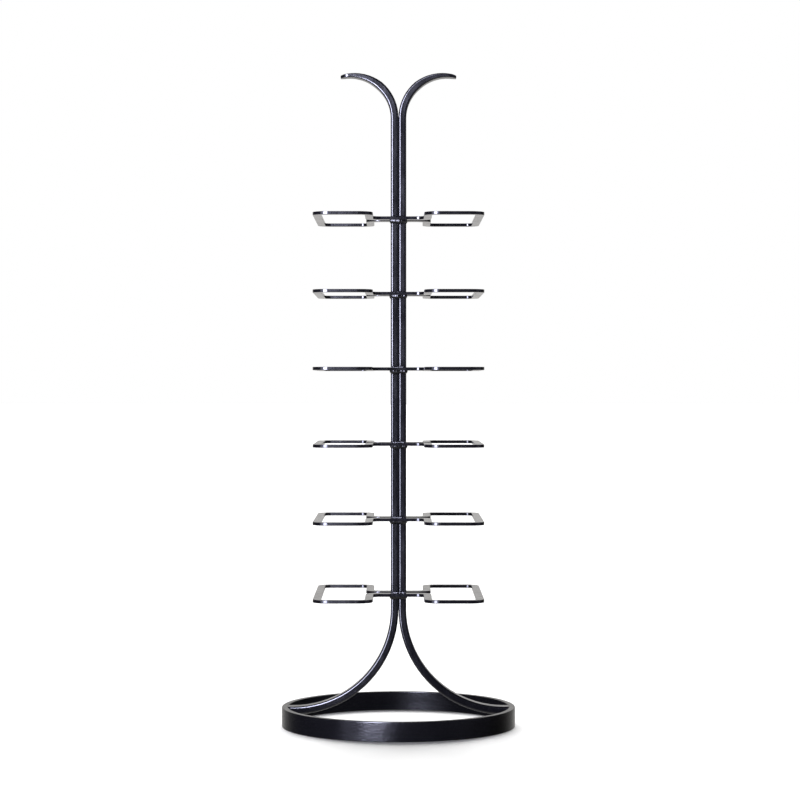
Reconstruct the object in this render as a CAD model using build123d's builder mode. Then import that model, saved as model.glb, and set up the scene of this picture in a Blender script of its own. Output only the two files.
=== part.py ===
"""Free-standing wine rack: a flat-bar hoop, a twin-bar stem and six welded tiers of bottle rings.

Millimetres.  The origin is at the centre of the hoop's underside, +Z is up and the front is towards -Y.
Each tier is one plate with two rings, cut as a closed loop that passes the stem in front and behind.
"""
from build123d import *
import os
from math import cos, radians, sin

# ---- Driving dimensions -------------------------------------------------------------------------

# Hoop that the rack stands on: a 25 x 8 flat bar, rolled the easy way and butt-welded shut.
HOOP_DIAMETER = 300.0
HOOP_HEIGHT = 25.0
HOOP_THICKNESS = 8.0
HOOP_EDGE = 1.0

# The two uprights: 20 x 10 flat bars that stand side by side, with their narrow edges to the front.
BAR_WIDTH = 10.0
BAR_DEPTH = 20.0
BAR_EDGE = 2.5
LEG_RADIUS = 130.0
CURL_RADIUS = 54.5
CURL_CENTRE_Z = 781.5
CURL_TAPER_START = 50.0
CURL_END = 106.0
TIP_WIDTH = 3.5
TIP_EDGE = 1.2

# Tiers: 4 mm plates that lie flat.
TIER_COUNT = 6
TIER_FIRST_Z = 169.5
TIER_PITCH = 96.4
PLATE = 4.0
PLATE_EDGE = 0.6

# Bottle ring of each side, measured from the stem's centre line.
RING_INNER = 32.0
RING_OUTER = 107.0
RING_HALF_LENGTH = 120.0
RAIL = 10.0
RING_CORNER = 19.0
OPENING_CORNER = 6.5

# Strips that carry the rings past the front and the rear of the stem, and the rounding where they turn
# into the rings' inner rails: tight outside the bend, wide on the side of the stem.
STRIP_WIDTH = 16.0
ELBOW_FILLET = 9.0
ELBOW_CORNER = 19.0

# Fillet weld beads: the two legs of each bead, its bulge and its length.
UNDER_BEAD_LEG = 4.5
OVER_BEAD_LEG = 2.4
BASE_BEAD_LEG = 3.0
BEAD_BULGE = 0.4
TIER_BEAD_LENGTH = 22.0
BEAD_END_EDGE = 0.8

# ---- Sizes that follow --------------------------------------------------------------------------

HOOP_RADIUS = HOOP_DIAMETER / 2
HOOP_INNER_RADIUS = HOOP_RADIUS - HOOP_THICKNESS
BAR_CENTRE = BAR_WIDTH / 2
STEM_FACE = BAR_DEPTH / 2
LEG_END_Z = HOOP_HEIGHT - BAR_WIDTH / 2
LEG_CENTRE_X = BAR_CENTRE + LEG_RADIUS
LEG_CENTRE_Z = LEG_END_Z + LEG_RADIUS
CURL_CENTRE_X = BAR_CENTRE + CURL_RADIUS
STRIP_FACE = STEM_FACE + STRIP_WIDTH
RING_INNER_SIDE = RING_INNER + RAIL
RING_OUTER_SIDE = RING_OUTER - RAIL
RING_END_SIDE = RING_HALF_LENGTH - RAIL
TIER_HEIGHTS = [TIER_FIRST_Z + TIER_PITCH * tier for tier in range(TIER_COUNT)]

os.makedirs("parts", exist_ok=True)


def save(part, name):
    """Label a finished piece and write it under its node's name."""
    part.label = name
    export_step(part, f"parts/{name}.step")
    print(name, round(part.volume), len(part.solids()))


# ---- Hoop ---------------------------------------------------------------------------------------


def hoop_section():
    """The hoop's outline in plan: what ends on its inner wall is trimmed with this."""
    with BuildSketch(Plane.XY) as section:
        Circle(HOOP_RADIUS)
        Circle(HOOP_INNER_RADIUS, mode=Mode.SUBTRACT)
    return section.sketch


def make_hoop():
    """A flat bar rolled to a ring that stands on its narrow edge."""
    with BuildPart() as hoop:
        extrude(hoop_section(), amount=HOOP_HEIGHT)
        fillet(hoop.edges().filter_by(GeomType.CIRCLE), HOOP_EDGE)
    return hoop.part


# ---- Uprights -----------------------------------------------------------------------------------


def arc_point(centre_x, centre_z, radius, side, angle):
    """A point on an arc that leaves the stem, by its angle from the stem's own direction."""
    reach = radius * cos(radians(angle))
    rise = radius * sin(radians(angle))
    return (side * (centre_x - reach), 0, centre_z + rise)


def curl_point(side, angle):
    """A point on the curl's centre line; the angle grows upwards from the stem."""
    return arc_point(CURL_CENTRE_X, CURL_CENTRE_Z, CURL_RADIUS, side, angle)


def leg_point(side, angle):
    """A point on the leg's centre line; the angle grows downwards from the stem."""
    return arc_point(LEG_CENTRE_X, LEG_CENTRE_Z, LEG_RADIUS, side, -angle)


def curl_section(side, angle, width, edge):
    """The bar's rounded section, square to the curl at an angle."""
    across = (cos(radians(angle)), 0, -side * sin(radians(angle)))
    along = (side * sin(radians(angle)), 0, cos(radians(angle)))
    with BuildSketch(Plane(origin=curl_point(side, angle), x_dir=across, z_dir=along)) as section:
        RectangleRounded(width, BAR_DEPTH, edge)
    return section.sketch


def make_upright(side):
    """One flat bar: a quarter-round leg, the straight stem and a curl that thins to a round tip.

    The leg ends in a short level run that butts against the hoop's inner wall.
    """
    tip_x = curl_point(side, CURL_END)[0]
    with BuildPart() as upright:
        with BuildLine():
            ThreePointArc(
                curl_point(side, CURL_TAPER_START),
                curl_point(side, CURL_TAPER_START / 2),
                curl_point(side, 0),
            )
            Line(curl_point(side, 0), leg_point(side, 0))
            ThreePointArc(leg_point(side, 0), leg_point(side, 45), leg_point(side, 90))
            Line(leg_point(side, 90), (side * (HOOP_INNER_RADIUS + HOOP_EDGE), 0, LEG_END_Z))
        sweep(curl_section(side, CURL_TAPER_START, BAR_WIDTH, BAR_EDGE))
        with BuildLine():
            ThreePointArc(
                curl_point(side, CURL_TAPER_START),
                curl_point(side, (CURL_TAPER_START + CURL_END) / 2),
                curl_point(side, CURL_END),
            )
        thick_end = curl_section(side, CURL_TAPER_START, BAR_WIDTH, BAR_EDGE)
        thin_end = curl_section(side, CURL_END, TIP_WIDTH, TIP_EDGE)
        sweep([thick_end, thin_end], multisection=True)
        # The tip is a half round in plan.
        with BuildSketch(Plane.XY.offset(CURL_CENTRE_Z)):
            with Locations((tip_x, 0)):
                Rectangle(BAR_DEPTH, BAR_DEPTH + BAR_WIDTH)
            with Locations((tip_x - side * BAR_DEPTH / 2, 0)):
                Circle(BAR_DEPTH / 2, mode=Mode.SUBTRACT)
        extrude(amount=CURL_RADIUS + BAR_WIDTH, mode=Mode.SUBTRACT)
        extrude(hoop_section(), amount=HOOP_HEIGHT, mode=Mode.SUBTRACT)
    return upright.part


# ---- Tier plates --------------------------------------------------------------------------------


def loop_outline(ring_inner, ring_outer, ring_end, strip):
    """Corner points of a dumb-bell shape: a ring's half-outline in each quarter, joined by a strip."""
    quarter = [(ring_inner, strip), (ring_inner, ring_end), (ring_outer, ring_end)]
    right_rear = quarter
    right_front = [(x, -y) for x, y in reversed(quarter)]
    left_front = [(-x, -y) for x, y in quarter]
    left_rear = [(-x, y) for x, y in reversed(quarter)]
    return right_rear + right_front + left_front + left_rear


def add_loop(outline, ring_corner, elbow_corner, mode):
    """A filled dumb-bell, its elbows and its ring corners rounded, added to or cut from the sketch."""
    ring_end = max(y for x, y in outline)
    with BuildSketch(mode=Mode.PRIVATE) as loop:
        with BuildLine():
            Polyline(*outline, close=True)
        make_face()
        fillet([vertex for vertex in loop.vertices() if abs(vertex.Y) < ring_end - RAIL], elbow_corner)
        # The first rounding makes new vertices, so the rings' corners are looked up after it.
        fillet([vertex for vertex in loop.vertices() if abs(vertex.Y) > ring_end - PLATE_EDGE], ring_corner)
    add(loop.sketch, mode=mode)


def make_plate():
    """One tier: a closed loop round both rings and past both faces of the stem."""
    outside = loop_outline(RING_INNER, RING_OUTER, RING_HALF_LENGTH, STRIP_FACE)
    inside = loop_outline(RING_INNER_SIDE, RING_OUTER_SIDE, RING_END_SIDE, STEM_FACE)
    with BuildPart() as plate:
        with BuildSketch(Plane.XY.offset(-PLATE / 2)):
            add_loop(outside, RING_CORNER, ELBOW_FILLET, Mode.ADD)
            add_loop(inside, OPENING_CORNER, ELBOW_CORNER, Mode.SUBTRACT)
        extrude(amount=PLATE)
        fillet(plate.faces().filter_by(Axis.Z).edges(), PLATE_EDGE)
    return plate.part


# ---- Weld beads ---------------------------------------------------------------------------------


def bead_section(plane, leg, across, down):
    """Fillet-weld section in a plane: a corner at its origin, two legs and a slightly bulging face.

    across and down are +1 or -1 and give the legs' directions along the plane's own x and y.
    """
    bulge = leg / 2 + BEAD_BULGE
    with BuildSketch(plane) as section:
        with BuildLine():
            Line((0, 0), (across * leg, 0))
            ThreePointArc((across * leg, 0), (across * bulge, down * bulge), (0, down * leg))
            Line((0, down * leg), (0, 0))
        make_face()
    return section.sketch


def make_tier_welds():
    """Four beads that tie one tier to the stem: under and over the front strip and the rear strip."""
    with BuildPart() as welds:
        for front_or_rear in (-1, 1):
            for over_or_under, leg in ((1, OVER_BEAD_LEG), (-1, UNDER_BEAD_LEG)):
                corner = Plane(
                    origin=(0, front_or_rear * STEM_FACE, over_or_under * PLATE / 2),
                    x_dir=(0, 1, 0),
                    z_dir=(1, 0, 0),
                )
                section = bead_section(corner, leg, front_or_rear, over_or_under)
                extrude(section, amount=TIER_BEAD_LENGTH / 2, both=True)
        ends = welds.faces().filter_by(Axis.X)
        fillet(ends.edges().filter_by(GeomType.CIRCLE), BEAD_END_EDGE)
    return welds.part


def make_base_welds():
    """Beads where both legs meet the hoop's inner wall: down each side of the leg and under it."""
    leg_under = HOOP_HEIGHT - BAR_WIDTH
    flat_height = BAR_WIDTH - BAR_EDGE
    with BuildPart() as welds:
        for side in (-1, 1):
            wall_x = side * HOOP_INNER_RADIUS
            for front_or_rear in (-1, 1):
                corner = Plane(origin=(wall_x, front_or_rear * STEM_FACE, LEG_END_Z))
                section = bead_section(corner, BASE_BEAD_LEG, -side, front_or_rear)
                extrude(section, amount=flat_height / 2, both=True)
            corner = Plane(origin=(wall_x, 0, leg_under), x_dir=(1, 0, 0), z_dir=(0, -1, 0))
            section = bead_section(corner, BASE_BEAD_LEG, -side, -1)
            extrude(section, amount=BAR_DEPTH / 2 - BAR_EDGE, both=True)
        extrude(hoop_section(), amount=HOOP_HEIGHT, mode=Mode.SUBTRACT)
    return welds.part


# ---- Build and write ----------------------------------------------------------------------------

save(make_hoop(), "hoop")
save(make_upright(-1), "upright_left")
save(make_upright(1), "upright_right")
save(make_base_welds(), "base_welds")

plate = make_plate()
tier_welds = make_tier_welds()
for tier, height in enumerate(TIER_HEIGHTS, start=1):
    save(Pos(0, 0, height) * plate, f"tier_{tier}_plate")
    save(Pos(0, 0, height) * tier_welds, f"tier_{tier}_welds")
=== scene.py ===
# %% [markdown]
# # A welded wine rack in black powder coat
#
# The rack is steel all through: a rolled hoop, two long bars that part into legs and curls, and six flat
# plates, each cut as one loop with a bottle ring on either side.  The frame that is loaded here already has
# every bar and plate at its true size and place.  What is left for Blender is what a drawing of the parts
# doesn't hold: the ripples of the weld beads, the skin of the paint, and the light.

# %% Load the frame
import bpy
import math
import random
from mathutils import Matrix, Vector


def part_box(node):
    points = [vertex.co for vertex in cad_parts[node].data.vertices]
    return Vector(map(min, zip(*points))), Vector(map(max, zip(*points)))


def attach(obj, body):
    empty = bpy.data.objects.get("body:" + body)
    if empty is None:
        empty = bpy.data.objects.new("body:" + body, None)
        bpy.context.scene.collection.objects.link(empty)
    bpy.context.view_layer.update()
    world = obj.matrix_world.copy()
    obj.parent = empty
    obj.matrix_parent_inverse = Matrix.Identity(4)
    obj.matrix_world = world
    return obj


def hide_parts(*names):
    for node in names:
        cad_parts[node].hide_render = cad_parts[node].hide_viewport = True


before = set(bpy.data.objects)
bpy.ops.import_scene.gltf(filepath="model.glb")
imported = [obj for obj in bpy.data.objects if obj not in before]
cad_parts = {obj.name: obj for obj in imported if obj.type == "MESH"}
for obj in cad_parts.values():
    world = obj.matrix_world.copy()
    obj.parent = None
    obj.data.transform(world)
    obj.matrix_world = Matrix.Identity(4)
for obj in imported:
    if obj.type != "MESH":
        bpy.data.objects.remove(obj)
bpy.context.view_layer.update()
MM = 0.001
TIERS = range(1, 7)
print("CAD nodes:", len(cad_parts))

# %% [markdown]
# ## Camera
#
# A long lens from about three metres keeps the two bars of the stem parallel and flattens the hoop to a slim
# ellipse.  The camera is level, so that what is upright stays upright, and a small shift frames the rack.

# %% Camera
EYE = (0.0, -3.09, 0.44)
LENS = 108
SENSOR_WIDTH = 36
SHIFT_X, SHIFT_Y = 0.0019, -0.0206
FAR_END = 50
LEVEL = math.radians(90)
bpy.ops.object.select_all(action="DESELECT")
bpy.ops.object.camera_add(location=EYE, rotation=(LEVEL, 0, 0))
camera = bpy.context.object
camera.name = "camera"
camera.data.lens = LENS
camera.data.sensor_width = SENSOR_WIDTH
camera.data.shift_x = SHIFT_X
camera.data.shift_y = SHIFT_Y
camera.data.clip_end = FAR_END
bpy.context.scene.camera = camera
print("camera at", EYE, "with a lens of", LENS, "mm")

# %% [markdown]
# ## Colours and nodes
#
# Colours are written as hex values, as a paint chart or a screen gives them, and one function turns them
# into the linear values that shaders add up.  A second function adds a node: a socket that is given a value
# is set, and one that is given another node's output is linked.

# %% Helpers for materials
def linear(hex_colour):
    """A hex colour such as "#1a1b1e" as linear red, green, blue and alpha."""
    channels = [int(hex_colour[i : i + 2], 16) / 255 for i in (1, 3, 5)]
    # The two branches are the curve that the sRGB standard defines.
    return [c / 12.92 if c <= 0.04045 else ((c + 0.055) / 1.055) ** 2.4 for c in channels] + [1.0]


def add_node(tree, kind, inputs, **settings):
    """Adds one node. inputs maps a socket to a value, or to the output socket that feeds it."""
    made = tree.nodes.new(kind)
    for name, value in settings.items():
        setattr(made, name, value)
    for socket, value in inputs.items():
        if isinstance(value, bpy.types.NodeSocket):
            tree.links.new(value, made.inputs[socket])
        else:
            made.inputs[socket].default_value = value
    return made


def map_range(tree, value, source, target, **settings):
    """Carries a value from one range to another. Each range is a pair."""
    inputs = {"Value": value}
    inputs.update({"From Min": source[0], "From Max": source[1]})
    inputs.update({"To Min": target[0], "To Max": target[1]})
    return add_node(tree, "ShaderNodeMapRange", inputs, **settings).outputs[0]


def new_material(name):
    """A material with an empty node tree."""
    material = bpy.data.materials.new(name)
    material.use_nodes = True
    material.node_tree.nodes.clear()
    return material, material.node_tree


def paint(piece, material):
    """Gives a piece one material in place of all it had."""
    piece.data.materials.clear()
    piece.data.materials.append(material)


# %% [markdown]
# ## Powder coat
#
# Powder coat is dry polyester powder, sprayed on and baked to a skin about a tenth of a millimetre thick.
# In a fine-texture black it cures with a grain like leather, small soft bumps that break a reflection into
# specks.  The pigment is nearly black, so almost everything that the eye gets from it is gloss.
#
# Each coat starts from Object coordinates, which stay with the steel however the view turns, and is built
# from two layers of relief.  The fine one is the grain of the paint.  The broad one is
# the steel beneath: bars that came through a roll or a hammer are never quite flat.  The broad layer also
# shifts the gloss a little, as thick and thin paint do.

# %% The coat as a function
PIGMENT = "#030304"
PIGMENT_SPECK = "#09090b"
GLOSS_SPREAD = 0.04
NOISE_SPAN = (0.3, 0.7)
NOISE_DETAIL = 2.0
COAT_IOR = 1.5
CURL_START = 0.775
CURL_FADE = 0.03


def powder_coat(name, grain, wave, roughness, dull_top=0.0):
    """Black powder coat. grain and wave are each a size in mm, a depth in mm and a stretch along X, Y, Z.

    dull_top is how much rougher the coat is on the curls, above CURL_START.
    """
    material, tree = new_material(name)
    place = add_node(tree, "ShaderNodeTexCoord", {}).outputs["Object"]
    heights = []
    normal = {}
    for size, depth, stretch in (wave, grain):
        mapped = add_node(tree, "ShaderNodeMapping", {"Vector": place, "Scale": stretch})
        relief = add_node(
            tree,
            "ShaderNodeTexNoise",
            {"Vector": mapped.outputs[0], "Scale": 1 / (size * MM), "Detail": NOISE_DETAIL},
        )
        bump = add_node(
            tree, "ShaderNodeBump", {"Height": relief.outputs[0], "Distance": depth * MM, **normal}
        )
        normal = {"Normal": bump.outputs[0]}
        heights.append(relief.outputs[0])
    tint = add_node(
        tree,
        "ShaderNodeMix",
        {"Factor": heights[1], "A": linear(PIGMENT), "B": linear(PIGMENT_SPECK)},
        data_type="RGBA",
    )
    gloss_span = (roughness - GLOSS_SPREAD, roughness + GLOSS_SPREAD)
    gloss = map_range(tree, heights[0], NOISE_SPAN, gloss_span)
    upward = add_node(tree, "ShaderNodeSeparateXYZ", {0: place}).outputs[2]
    dulled = map_range(tree, upward, (CURL_START, CURL_START + CURL_FADE), (0.0, dull_top))
    rough = add_node(tree, "ShaderNodeMath", {0: gloss, 1: dulled}, operation="ADD")
    shader = add_node(
        tree,
        "ShaderNodeBsdfPrincipled",
        {"Base Color": tint.outputs[2], "Roughness": rough.outputs[0], "IOR": COAT_IOR, **normal},
    )
    add_node(tree, "ShaderNodeOutputMaterial", {0: shader.outputs[0]})
    return material


# %% [markdown]
# ## Four coats
#
# One paint covers the whole rack, but what lies under it differs.  The rolled hoop is the smoothest, so its
# grain shows best.  The stem bars are hammered along their length, which makes a highlight waver.  The plates
# are flat on top and are cut by laser or torch round their rims, and the cut leaves fine upright drag lines:
# a grain stretched along Z gives those on the rims and stays a plain grain on the faces.  The true lines are
# about half a millimetre apart and are drawn at twice that, because finer ones would only turn to noise.

# %% Paint the CAD nodes
EVEN = (1, 1, 1)
LONG = (1, 1, 0.35)
STREAK = (1, 1, 0.2)
DRAG_LINE = (1, 1, 0.06)
hoop_coat = powder_coat("powder_coat_on_rolled_hoop", (2.6, 0.17, EVEN), (60, 0.1, EVEN), 0.2)
bar_coat = powder_coat("powder_coat_on_hammered_bars", (3, 0.06, EVEN), (14, 0.22, LONG), 0.17, dull_top=0.04)
plate_coat = powder_coat("powder_coat_on_cut_plate", (1.1, 0.024, DRAG_LINE), (9, 0.03, STREAK), 0.15)
bead_coat = powder_coat("powder_coat_on_weld_bead", (1.6, 0.02, EVEN), (5, 0.04, EVEN), 0.2)

for name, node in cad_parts.items():
    if name == "hoop":
        paint(node, hoop_coat)
    elif name.startswith("upright"):
        paint(node, bar_coat)
    elif name.endswith("plate"):
        paint(node, plate_coat)
    else:
        paint(node, bead_coat)
    print(name, "is painted with", node.data.materials[0].name)

# %% [markdown]
# ## Weld beads
#
# A fillet weld is laid as a row of small overlapping pools, and no two pools freeze at quite the same size.
# A row of squashed spheres has that rhythm.  Each bead is such a row, remeshed to one skin, smoothed until
# the pools run into each other, and cut flat on the two faces that it joins.  The numbers come from a seeded
# draw, so every bead differs and every run gives the same beads.

# %% Helpers for the beads
POOL_PITCH = 1.7 * MM
POOL_SHAPE = (0.62, 0.92, 1)
POOL_SEGMENTS = 20
POOL_RINGS = 12
SKIN = 0.4 * MM
SMOOTH_FACTOR = 0.5
SMOOTH_ROUNDS = 2
SHARP_EDGE = math.radians(40)
SEED = 6
draw = random.Random(SEED)


def apply_modifier(piece, kind, **settings):
    """Adds a modifier to a piece and applies it at once."""
    bpy.context.view_layer.objects.active = piece
    modifier = piece.modifiers.new(kind.lower(), kind)
    for name, value in settings.items():
        setattr(modifier, name, value)
    bpy.ops.object.modifier_apply(modifier=modifier.name)


def cut_flat(piece, normal):
    """Cuts away what lies beyond a plane through the origin and closes the cut."""
    bpy.context.view_layer.objects.active = piece
    bpy.ops.object.mode_set(mode="EDIT")
    bpy.ops.mesh.select_all(action="SELECT")
    bpy.ops.mesh.bisect(plane_co=(0, 0, 0), plane_no=normal, use_fill=True, clear_outer=True)
    bpy.ops.object.mode_set(mode="OBJECT")


def join(pieces, name):
    """Joins pieces into one that sits at the origin, with its place in its mesh."""
    bpy.ops.object.select_all(action="DESELECT")
    for piece in pieces:
        piece.select_set(True)
    bpy.context.view_layer.objects.active = pieces[0]
    bpy.ops.object.join()
    bpy.ops.object.transform_apply(location=True, rotation=True, scale=True)
    bpy.context.object.name = name
    return bpy.context.object


# %% [markdown]
# The bead is made in the corner below and in front of the origin, lying along X.  From there a turn and a
# shift take it to its joint.  It swells and thins along its length, and its two ends taper, because the
# welder starts and stops.

# %% One weld bead
SWELL = 0.13
SWELL_TURNS = 9
UNEVEN = 0.07
END_TAPER = 0.45
TAPER_POWER = 6


def weld_bead(length, leg, turn, corner):
    """A bead of a length and a leg size, turned by a matrix and moved to its corner."""
    count = round(length / POOL_PITCH)
    phase = draw.uniform(0, math.tau)
    pools = []
    bpy.ops.object.select_all(action="DESELECT")
    for step in range(count):
        along = (step + 0.5) / count - 0.5
        swell = 1 + SWELL * math.sin(phase + SWELL_TURNS * along) + draw.uniform(-UNEVEN, UNEVEN)
        taper = 1 - END_TAPER * abs(2 * along) ** TAPER_POWER
        bpy.ops.mesh.primitive_uv_sphere_add(
            segments=POOL_SEGMENTS,
            ring_count=POOL_RINGS,
            radius=leg * swell * taper,
            location=(along * length, 0, 0),
            scale=POOL_SHAPE,
        )
        pools.append(bpy.context.object)
    bead = join(pools, "bead")
    apply_modifier(bead, "REMESH", mode="VOXEL", voxel_size=SKIN)
    apply_modifier(bead, "SMOOTH", factor=SMOOTH_FACTOR, iterations=SMOOTH_ROUNDS)
    cut_flat(bead, (0, 1, 0))
    cut_flat(bead, (0, 0, 1))
    bead.data.transform(Matrix.Translation(corner) @ turn)
    bpy.ops.object.shade_smooth_by_angle(angle=SHARP_EDGE)
    return bead


def finish_beads(beads, name, stands_for):
    """Joins beads to one piece that takes the place of a CAD node and its paint."""
    whole = join(beads, name)
    paint(whole, bead_coat)
    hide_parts(stands_for)
    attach(whole, "root")
    print(name, "has", len(beads), "beads and", len(whole.data.polygons), "faces")


# %% [markdown]
# ## Beads of the tiers
#
# Each plate passes the stem in front and behind.  A broad bead runs under it at both places, where it
# carries the load, and a thin one runs over it.  The rear pair is the front pair after half a turn.

# %% Beads of the six tiers
NO_TURN = Matrix.Identity(4)
HALF_TURN = Matrix.Rotation(math.radians(180), 4, "Z")
UPWARD = Matrix.Rotation(math.radians(-90), 4, "X")
UNDER_LENGTH, UNDER_LEG = 20.5 * MM, 4.6 * MM
OVER_LENGTH, OVER_LEG = 19 * MM, 2.2 * MM
stem_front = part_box("upright_left")[0].y

for tier in TIERS:
    low_face, high_face = (corner.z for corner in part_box(f"tier_{tier}_plate"))
    beads = []
    for turn, side in ((NO_TURN, 1), (HALF_TURN, -1)):
        face = side * stem_front
        beads.append(weld_bead(UNDER_LENGTH, UNDER_LEG, turn, (0, face, low_face)))
        beads.append(weld_bead(OVER_LENGTH, OVER_LEG, turn @ UPWARD, (0, face, high_face)))
    finish_beads(beads, f"tier_{tier}_weld_beads", f"tier_{tier}_welds")

# %% [markdown]
# ## Beads of the legs
#
# The legs end level against the inner wall of the hoop.  A short bead runs down each side of a leg and one
# runs under it.

# %% Beads of the legs
LEG_THICKNESS = 10 * MM
BEAD_LEG = 3.0 * MM
SIDE_LENGTH = 8 * MM
BELOW_LENGTH = 15 * MM
TO_RIGHT_WALL = Matrix.Rotation(math.radians(90), 4, "Y")
TO_LEFT_WALL = Matrix.Rotation(math.radians(-90), 4, "Y")
UNDER_LEG_TURN = Matrix.Rotation(math.radians(-90), 4, "Z")
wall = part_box("base_welds")[1].x
hoop_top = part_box("hoop")[1].z
leg_middle = hoop_top - LEG_THICKNESS / 2
leg_under = hoop_top - LEG_THICKNESS

beads = []
for turn, side in ((NO_TURN, 1), (HALF_TURN, -1)):
    face = side * stem_front
    near, far = side * wall, -side * wall
    beads.append(weld_bead(SIDE_LENGTH, BEAD_LEG, turn @ TO_RIGHT_WALL, (near, face, leg_middle)))
    beads.append(weld_bead(SIDE_LENGTH, BEAD_LEG, turn @ TO_LEFT_WALL, (far, face, leg_middle)))
    beads.append(weld_bead(BELOW_LENGTH, BEAD_LEG, turn @ UNDER_LEG_TURN, (near, 0, leg_under)))
finish_beads(beads, "leg_weld_beads", "base_welds")

# %% [markdown]
# ## Floor and world
#
# Black gloss shows its surroundings and little else, so the surroundings are designed.  Behind the rack
# hangs a bright white sheet: the flat plates mirror it at a grazing angle and turn light grey.  In front and
# at the sides the room is dark, which keeps the bars black.  Looking down, a reflection meets the pale floor,
# so the world brightens again below the horizon.  Camera rays see plain white all round.

# %% World
BACK_GLOW = 0.7
UPPER_GLOW = 0.2
ROOM_GLOW = 0.02
FLOOR_BOUNCE = 0.55
SHEET_EDGE = 5.0
SHEET_FADE = (0.15, 0.7)
BOUNCE_FADE = (-0.25, -0.6)
WARM_WHITE = "#fffdfb"
WHITE = "#ffffff"
world = bpy.data.worlds.new("studio")
bpy.context.scene.world = world
world.use_nodes = True
tree = world.node_tree
tree.nodes.clear()
direction = add_node(tree, "ShaderNodeTexCoord", {}).outputs["Generated"]
split = add_node(tree, "ShaderNodeSeparateXYZ", {0: direction})
behind = add_node(tree, "ShaderNodeMath", {0: split.outputs[1], 1: 0.0}, operation="MAXIMUM")
narrow = add_node(tree, "ShaderNodeMath", {0: behind.outputs[0], 1: SHEET_EDGE}, operation="POWER")
height = split.outputs[2]
soft = {"interpolation_type": "SMOOTHSTEP"}
sheet = map_range(tree, height, SHEET_FADE, (BACK_GLOW, UPPER_GLOW), **soft)
bounce = map_range(tree, height, BOUNCE_FADE, (ROOM_GLOW, FLOOR_BOUNCE), **soft)
glow = add_node(
    tree,
    "ShaderNodeMath",
    {0: narrow.outputs[0], 1: sheet, 2: bounce},
    operation="MULTIPLY_ADD",
)
lit = add_node(tree, "ShaderNodeBackground", {"Color": linear(WARM_WHITE), "Strength": glow.outputs[0]})
seen = add_node(tree, "ShaderNodeBackground", {"Color": linear(WHITE), "Strength": 1.0})
is_camera = add_node(tree, "ShaderNodeLightPath", {}).outputs["Is Camera Ray"]
both = add_node(tree, "ShaderNodeMixShader", {0: is_camera, 1: lit.outputs[0], 2: seen.outputs[0]})
add_node(tree, "ShaderNodeOutputWorld", {0: both.outputs[0]})
print("world: back", BACK_GLOW, "room", ROOM_GLOW)

# %% [markdown]
# The floor is white and matt, and glows a little so that it melts into the white behind it.  The paint is
# kept from mirroring it, because a floor this wide would lift the underside of every plate.

# %% Floor
FLOOR_SIZE = 60
FLOOR_MIDDLE = (0, 20, -0.0001)
FLOOR_WHITE = "#f3f3f3"
FLOOR_GLOW = 0.1
bpy.ops.object.select_all(action="DESELECT")
bpy.ops.mesh.primitive_plane_add(size=FLOOR_SIZE, location=FLOOR_MIDDLE)
floor = bpy.context.object
floor.name = "studio_floor"
material, tree = new_material("white_studio_floor")
surface = add_node(tree, "ShaderNodeBsdfDiffuse", {"Color": linear(FLOOR_WHITE)})
glow = add_node(tree, "ShaderNodeEmission", {"Color": linear(WHITE), "Strength": FLOOR_GLOW})
both = add_node(tree, "ShaderNodeAddShader", {0: surface.outputs[0], 1: glow.outputs[0]})
add_node(tree, "ShaderNodeOutputMaterial", {0: both.outputs[0]})
paint(floor, material)
floor.visible_glossy = False
floor.visible_shadow = False
print("floor", FLOOR_SIZE, "m wide")

# %% [markdown]
# ## Lights
#
# A tall, narrow soft box at the front left is the key light.  It draws the bright line down the rounded left
# edge of each bar.  A dimmer one below it carries the line on and makes the patch on the hoop, and a wide,
# faint one around them gives the highlights soft edges.  A small one higher up picks out the top edges of
# the curls, and a weak one at the far right keeps the right flank from going black.

# %% Soft boxes
COOL = "#dfe1ff"


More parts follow.
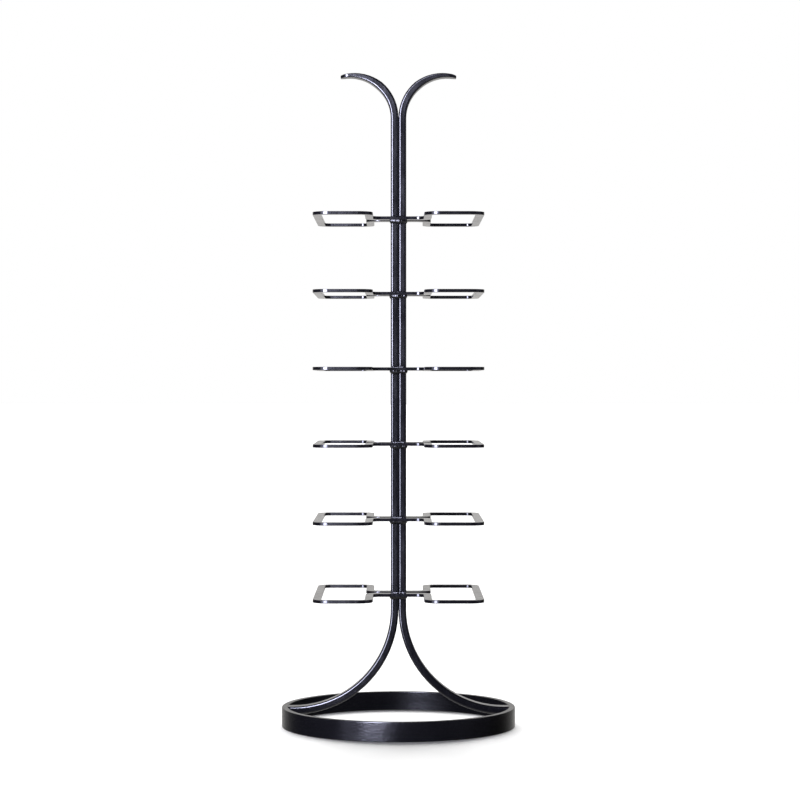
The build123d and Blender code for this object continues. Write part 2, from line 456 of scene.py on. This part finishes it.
def soft_box(name, place, target, width, height, power):
    """A rectangular area light that faces a point and isn't itself seen."""
    bpy.ops.object.light_add(type="AREA", location=place)
    lamp = bpy.context.object
    lamp.name = name
    lamp.rotation_euler = (Vector(target) - Vector(place)).to_track_quat("-Z", "Y").to_euler()
    lamp.data.shape = "RECTANGLE"
    lamp.data.size = width
    lamp.data.size_y = height
    lamp.data.energy = power
    lamp.data.color = linear(COOL)[:3]
    lamp.visible_camera = False
    print(name, "at", place, "gives", power, "W")
    return lamp


soft_boxes = [
    soft_box("key_left", (-0.41, -0.95, 0.83), (0, 0, 0.83), 0.34, 0.76, 49),
    soft_box("key_left_low", (-0.41, -0.95, 0.205), (0, 0, 0.205), 0.34, 0.49, 17),
    soft_box("key_halo", (-0.5, -0.9, 0.57), (0, 0, 0.57), 0.9, 1.3, 11),
    soft_box("top_left", (-0.2, -0.95, 1.5), (0.04, 0, 0.83), 0.36, 0.35, 5),
    soft_box("flank_right", (1.6, -0.4, 0.5), (0.1, 0, 0.3), 1.4, 1.2, 1.8),
]

# %% [markdown]
# The floor has its own light, a broad soft sun from behind, which gives the contact shadow below the hoop.
# Light linking keeps the two apart: the sun lights the floor alone, and the soft boxes leave it out.

# %% Sun on the floor
SUN_FROM = (-0.1, 1.0, 1.0)
SUN_PLACE = (0, 2, 3)
SUN_SPREAD = math.radians(65)
SUN_STRENGTH = 6.4
bpy.ops.object.light_add(type="SUN", location=SUN_PLACE)
sky = bpy.context.object
sky.name = "floor_sky"
sky.rotation_euler = (-Vector(SUN_FROM)).to_track_quat("-Z", "Y").to_euler()
sky.data.angle = SUN_SPREAD
sky.data.energy = SUN_STRENGTH

floor_only = bpy.data.collections.new("floor_only")
floor_only.objects.link(floor)
sky.light_linking.receiver_collection = floor_only
not_floor = bpy.data.collections.new("all_but_floor")
not_floor.objects.link(floor)
not_floor.collection_objects[0].light_linking.link_state = "EXCLUDE"
for lamp in soft_boxes:
    lamp.light_linking.receiver_collection = not_floor
print("sun on the floor gives", SUN_STRENGTH, "W per square metre")

# %% [markdown]
# ## Colour
#
# The Standard view shows the colours as they are mixed.

# %% View transform
bpy.context.scene.view_settings.view_transform = "Standard"
bpy.context.scene.view_settings.look = "None"
